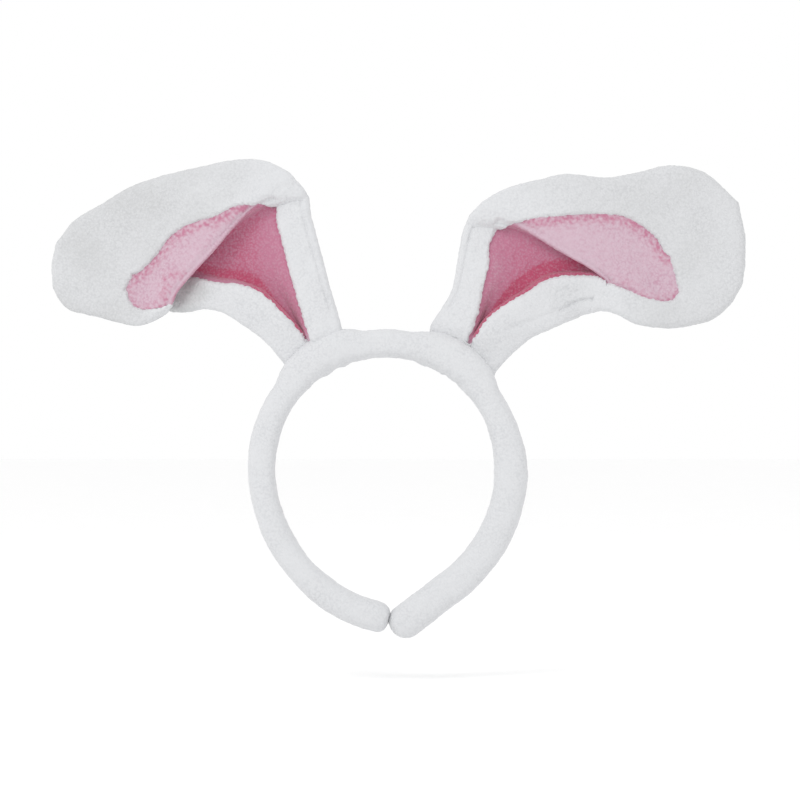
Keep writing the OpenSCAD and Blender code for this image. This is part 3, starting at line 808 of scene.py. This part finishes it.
def band_line(side):
    """Stations along one half of the band from the top: place, direction outward, angle from the top."""
    sign = SIDES[side]
    rows = []
    for angle in np.arange(0, 90.5, 0.5):
        a = math.radians(angle)
        out = np.array([sign * math.sin(a), 0, math.cos(a)])
        rows.append((HEAD_R * out, out, angle))
    centre = np.array([sign * (HEAD_R - SIDE_R[side]), 0, 0])
    turn = SIDE_TURN[side]
    steps = int(turn * 2.4)
    for k in range(1, steps + 1):
        a = math.radians(turn * k / steps)
        out = np.array([sign * math.cos(a), 0, -math.sin(a)])
        rows.append((centre + SIDE_R[side] * out, out, 90 + turn * k / steps))
    start, out, angle = rows[-1]
    down = np.array([sign * out[2], 0, -sign * out[0]])
    steps = max(2, int(END_LENGTH[side] / 0.6))
    for k in range(1, steps + 1):
        rows.append((start + down * END_LENGTH[side] * k / steps, out, angle))
    return rows, down


def swollen(angle):
    """How thick the band is at an angle from the top, where it swells below an ear."""
    best = CROWN_T
    for side, sign in SIDES.items():
        away = math.radians(angle - sign * EAR_ANGLE[side])
        inside = SWELL_R ** 2 - (SWELL_CENTRE * math.sin(away)) ** 2
        if math.cos(away) > 0 and inside > 0:
            reach = SWELL_CENTRE * math.cos(away) + math.sqrt(inside) - HEAD_R
            blend = 0.5 + 0.5 * max(-1, min(1, (reach - best) / SWELL_SOFT))
            best = best + (reach - best) * blend + SWELL_SOFT * blend * (1 - blend) / 2
    return best


def band_grid():
    """The sleeve's surface: a rounded section carried from the left tip to the right tip."""
    turns = np.arange(SECTION_POINTS) * 2 * math.pi / SECTION_POINTS
    wide = np.sign(np.cos(turns)) * abs(np.cos(turns)) ** (2 / SQUARE)
    deep = np.sign(np.sin(turns)) * abs(np.sin(turns)) ** (2 / SQUARE)
    loops = {}
    for side, sign in SIDES.items():
        rows, down = band_line(side)
        total = len(rows) - 1
        sections = []
        for i, (place, out, angle) in enumerate(rows):
            settled = smooth((angle - 58) / 40)
            near_tip = smooth((i / total - 0.7) / 0.3)
            arm = ARM_T[side] + (TIP_T[side] - ARM_T[side]) * near_tip
            thick = swollen(sign * angle) * (1 - settled) + arm * settled
            sections.append((place, out, thick, 1.0))
        for k in range(1, TIP_RINGS + 1):
            d = math.sin(math.pi / 2 * k / TIP_RINGS)
            shrink = max(0.0, 1 - d ** BLUNT[side]) ** (1 / BLUNT[side])
            sections.append((place + down * d * thick / 2, out, thick, shrink))
        rings = []
        for place, out, thick, shrink in sections:
            half_width = BAND_HALF_WIDTH * min(1, 0.25 + shrink) * shrink ** 0.4
            ring = place + out * thick / 2 + (thick / 2 * shrink * wide)[:, None] * out
            rings.append(ring + (half_width * deep)[:, None] * [0, 1, 0])
        loops[side] = np.array(rings)
    return np.concatenate([loops["left"][:0:-1], loops["right"]]), len(loops["left"]) - 1


def band():
    """The sleeve in two halves that meet at the top, with the fleece's relief on it."""
    grid, top = band_grid()
    closed = np.concatenate([grid[:, -1:], grid, grid[:, :1]], axis=1)
    out = grid_normals(closed)[:, 1:-1]
    centre = grid.mean(axis=1, keepdims=True)
    out = out * np.sign((out * (grid - centre)).sum(axis=-1, keepdims=True))
    out[0] = unit(grid[0] - grid[1])
    out[-1] = unit(grid[-1] - grid[-2])
    angle = np.degrees(np.arctan2(abs(grid[..., 0]), grid[..., 2]))
    inward = 1 - smooth((np.hypot(grid[..., 0], grid[..., 2]) - HEAD_R) / 5)
    gathered = smooth((angle - 12) / 8) * (1 - smooth((angle - 44) / 8)) * inward
    relief = 0.3 * noise_over(grid, 16, 5) + 0.12 * noise_over(grid, 6, 6)
    relief = relief + gathered * 0.7 * noise_over(grid, 4.5, 7)
    grid = grid + out * (relief + tufts_over(grid))[..., None]
    grid[0] = grid[0].mean(axis=0)
    grid[-1] = grid[-1].mean(axis=0)
    pieces = {}
    for side, part in (("left", grid[:top + 1]), ("right", grid[top:])):
        rows, sides = part.shape[:2]
        faces = []
        for i in range(rows - 1):
            for k in range(sides):
                a, b = i * sides + k, i * sides + (k + 1) % sides
                faces.append((a, b, b + sides, a + sides))
        joined = (rows - 1) * sides if side == "left" else 0
        cap = tuple(range(joined, joined + sides))
        faces.append(cap if side == "left" else cap[::-1])
        piece = mesh_piece(f"sleeve_{side}_half", part.reshape(-1, 3), faces, white)
        for edge in piece.data.edges:
            ends = [v - joined for v in edge.vertices]
            if all(0 <= v < sides for v in ends):
                edge.use_edge_sharp = True
        pieces[side] = piece
    return pieces


# ---- building it ----


for side, sign in SIDES.items():
    made = ear(side)
    beyond = across_fold(side) * [sign, 1, 1]
    for piece in made.values():
        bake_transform(piece)
    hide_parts(f"front_border_base_{side}", f"front_border_tip_{side}")
    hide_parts(f"back_panel_base_{side}", f"back_panel_tip_{side}",
                f"wadding_base_{side}", f"wadding_tip_{side}")
    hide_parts(f"inner_panel_base_{side}", f"inner_panel_tip_{side}")
    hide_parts(f"wire_base_{side}", f"wire_tip_{side}")

    for key, slot, finish in (("wire_feet", "wire", "wire"), ("ear_stitches", "thread", "stitches")):
        node = frame["nodes"][f"{key}_{side}"]
        piece = bpy.data.objects.new(f"held_{key}_{side}", node.data.copy())
        piece.matrix_world = node.matrix_world
        bpy.context.scene.collection.objects.link(piece)
        piece.data.materials.clear()
        piece.data.materials.append(FINISHES[finish])
        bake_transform(piece)
        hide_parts(node.name)

for side, piece in band().items():
    sign = SIDES[side]
    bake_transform(piece)
    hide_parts("sleeve_crown", f"sleeve_{side}", f"inner_pad_{side}", f"outer_pad_{side}",
                "inner_pad_crown", "outer_pad_crown", f"ear_hem_{side}")

for name, node in frame["nodes"].items():
    key = next(k for k in [*FINISHES, "panel", "border", "wadding", "sleeve"] if k in name)
    finish = FINISHES.get(key, rose if name.startswith("inner_panel") else white)
    node.data.materials.clear()
    node.data.materials.append(finish)

# ---- floor, light and camera ----

# How far the arms' tips come down as they spring open, with a little room.
ARM_DROP = 0.022
# How far the floor reaches each way.
FLOOR_REACH = 6

floor_z = cad_bounds[0].z - ARM_DROP
floor_mesh = bpy.data.meshes.new("floor")
floor_corners = [(FLOOR_REACH * x, FLOOR_REACH * y, floor_z) for x, y in ((-1, -1), (1, -1), (1, 1), (-1, 1))]
floor_mesh.from_pydata(floor_corners, [], [(0, 1, 2, 3)])
floor_mesh.materials.append(plain("floor", (0.99, 0.99, 0.99), (0.97, 0.97, 0.97), 0.9, 40, bumpy=0.0))
floor = bpy.data.objects.new("floor", floor_mesh)
bpy.context.scene.collection.objects.link(floor)

world = bpy.data.worlds.new("studio")
bpy.context.scene.world = world
world.use_nodes = True
world.node_tree.nodes["Background"].inputs["Color"].default_value = (1, 1, 1, 1)
world.node_tree.nodes["Background"].inputs["Strength"].default_value = 1.0


def soft_light(name, place, aim, size, power):
    """A square soft light at a place, turned to what it aims at."""
    light = bpy.data.lights.new(name, "AREA")
    light.size = size
    light.energy = power
    lamp = bpy.data.objects.new(name, light)
    lamp.location = place
    lamp.rotation_euler = (Vector(aim) - Vector(place)).to_track_quat("-Z", "Y").to_euler()
    bpy.context.scene.collection.objects.link(lamp)


soft_light("key", (-0.7, -1.3, 1.2), (0, 0, 0.03), 0.8, 8)

camera = bpy.data.cameras.new("camera")
camera.sensor_width = 36
camera.lens = 144
eye = bpy.data.objects.new("camera", camera)
eye.location = (0.0075, -1.6, 0.0335)
eye.rotation_euler = (math.radians(90), 0, 0)
bpy.context.scene.collection.objects.link(eye)
bpy.context.scene.camera = eye
bpy.context.scene.view_settings.view_transform = "Standard"
